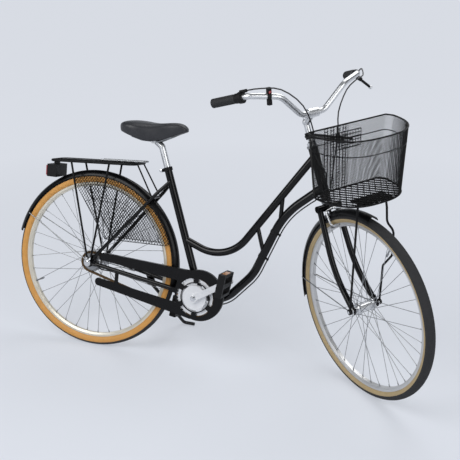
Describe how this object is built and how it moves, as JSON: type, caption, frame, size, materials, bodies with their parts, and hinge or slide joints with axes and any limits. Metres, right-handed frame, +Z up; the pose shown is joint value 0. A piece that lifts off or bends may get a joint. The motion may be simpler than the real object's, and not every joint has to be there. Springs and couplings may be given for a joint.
{
  "type": "step-through bicycle",
  "caption": "Black step-through city bicycle with a twin-tube frame, front basket, rear rack, mudguards and chain guard, parked on its side stand.",
  "frame": {"origin": "on the floor midway between the two wheel axles, in the line on which the upright bicycle would stand", "axes": "+X forward along the bicycle, +Y to its left, +Z up"},
  "size_m": [1.7469, 0.7457, 1.1249],
  "materials": {
    "black_paint": "gloss",
    "black_metal": "satin",
    "black_plastic": "matte",
    "alloy": "brushed",
    "chrome": "polished",
    "steel": "satin",
    "chain_steel": "worn",
    "rubber": "matte",
    "tyre": "matte",
    "vinyl": "soft",
    "red_lens": "gloss",
    "amber_lens": "gloss",
    "cable": "satin"
  },
  "bodies": {
    "frame": {"frame": "black_paint", "headset_cups": "steel", "bottom_bracket_cups": "steel", "seat_clamp": "black_metal", "seat_post": "alloy", "saddle": "vinyl", "saddle_rails": "steel", "rear_mudguard": "black_paint", "rear_mudguard_stays": "steel", "skirt_guard_right": "black_metal", "skirt_guard_left": "black_metal", "rear_rack": "black_metal", "rack_clip": "chrome", "rear_light": "black_plastic", "rear_light_lens": "red_lens", "chain_guard": "black_plastic", "chain": "chain_steel", "rear_axle": "chrome", "coaster_arm": "steel", "gear_cable": "cable", "gear_cable_clips": "black_plastic", "stand_bracket": "black_metal"},
    "stand": {"stand": "black_paint"},
    "steering": {"fork": "black_paint", "headset_nut": "chrome", "front_axle": "chrome", "stem": "alloy", "handlebar": "alloy", "grips": "rubber", "twist_shifter": "black_plastic", "bar_bracket": "black_plastic", "brake_lever": "black_metal", "brake_caliper": "alloy", "brake_cable": "cable", "gear_cable_loop": "cable", "front_mudguard": "black_paint", "front_mudguard_stays": "steel", "basket": "black_metal", "basket_bracket": "black_metal", "basket_stays": "black_metal"},
    "front_wheel": {"front_tyre": "tyre", "front_rim": "alloy", "front_spokes": "steel", "front_hub": "alloy"},
    "rear_wheel": {"rear_tyre": "tyre", "rear_rim": "alloy", "rear_spokes": "steel", "rear_hub": "alloy"},
    "sprocket": {"sprocket": "steel"},
    "crank": {"chainring": "chrome", "crank_axle": "steel", "crank_right": "alloy", "crank_left": "alloy"},
    "pedal_right": {"pedal_right": "black_plastic", "pedal_reflectors_right": "amber_lens"},
    "pedal_left": {"pedal_left": "black_plastic", "pedal_reflectors_left": "amber_lens"}
  },
  "joints": [
    {"name": "steering", "type": "hinge", "parent": "frame", "child": "steering", "pos_m": [0.36494, 0.16768, 0.67078], "axis": [-0.3628, 0.227, 0.9038], "range_deg": [-24.3, 105.7], "deforming": ["gear_cable_loop"]},
    {"name": "front_wheel_spin", "type": "hinge", "parent": "steering", "child": "front_wheel", "pos_m": [0.54629, 0.04681, 0.35017], "axis": [0.6077, 0.7929, 0.0448], "continuous": true},
    {"name": "rear_wheel_spin", "type": "hinge", "parent": "frame", "child": "rear_wheel", "pos_m": [-0.56317, 0.08473, 0.34053], "axis": [0, 0.9699, -0.2436], "continuous": true},
    {"name": "crank_turn", "type": "hinge", "parent": "frame", "child": "crank", "pos_m": [-0.10479, 0.06736, 0.27137], "axis": [0, 0.9699, -0.2436], "continuous": true, "deforming": ["chain"]},
    {"name": "sprocket_spin", "type": "hinge", "parent": "frame", "child": "sprocket", "pos_m": [-0.56317, 0.08473, 0.34053], "axis": [0, 0.9699, -0.2436], "continuous": true},
    {"name": "pedal_right_spin", "type": "hinge", "parent": "crank", "child": "pedal_right", "pos_m": [0.03472, 0.08882, 0.35682], "axis": [0, 0.9699, -0.2436], "continuous": true},
    {"name": "pedal_left_spin", "type": "hinge", "parent": "crank", "child": "pedal_left", "pos_m": [-0.24429, 0.0459, 0.18592], "axis": [0, 0.9699, -0.2436], "continuous": true},
    {"name": "stand_fold", "type": "hinge", "parent": "frame", "child": "stand", "pos_m": [-0.34482, 0.11752, 0.26583], "axis": [-0.0031, 0.9018, 0.4321], "range_deg": [0, 97.5]}
  ],
  "couplings": [
    {"joint": "sprocket_spin", "follows": "crank_turn", "ratio": 2}
  ]
}
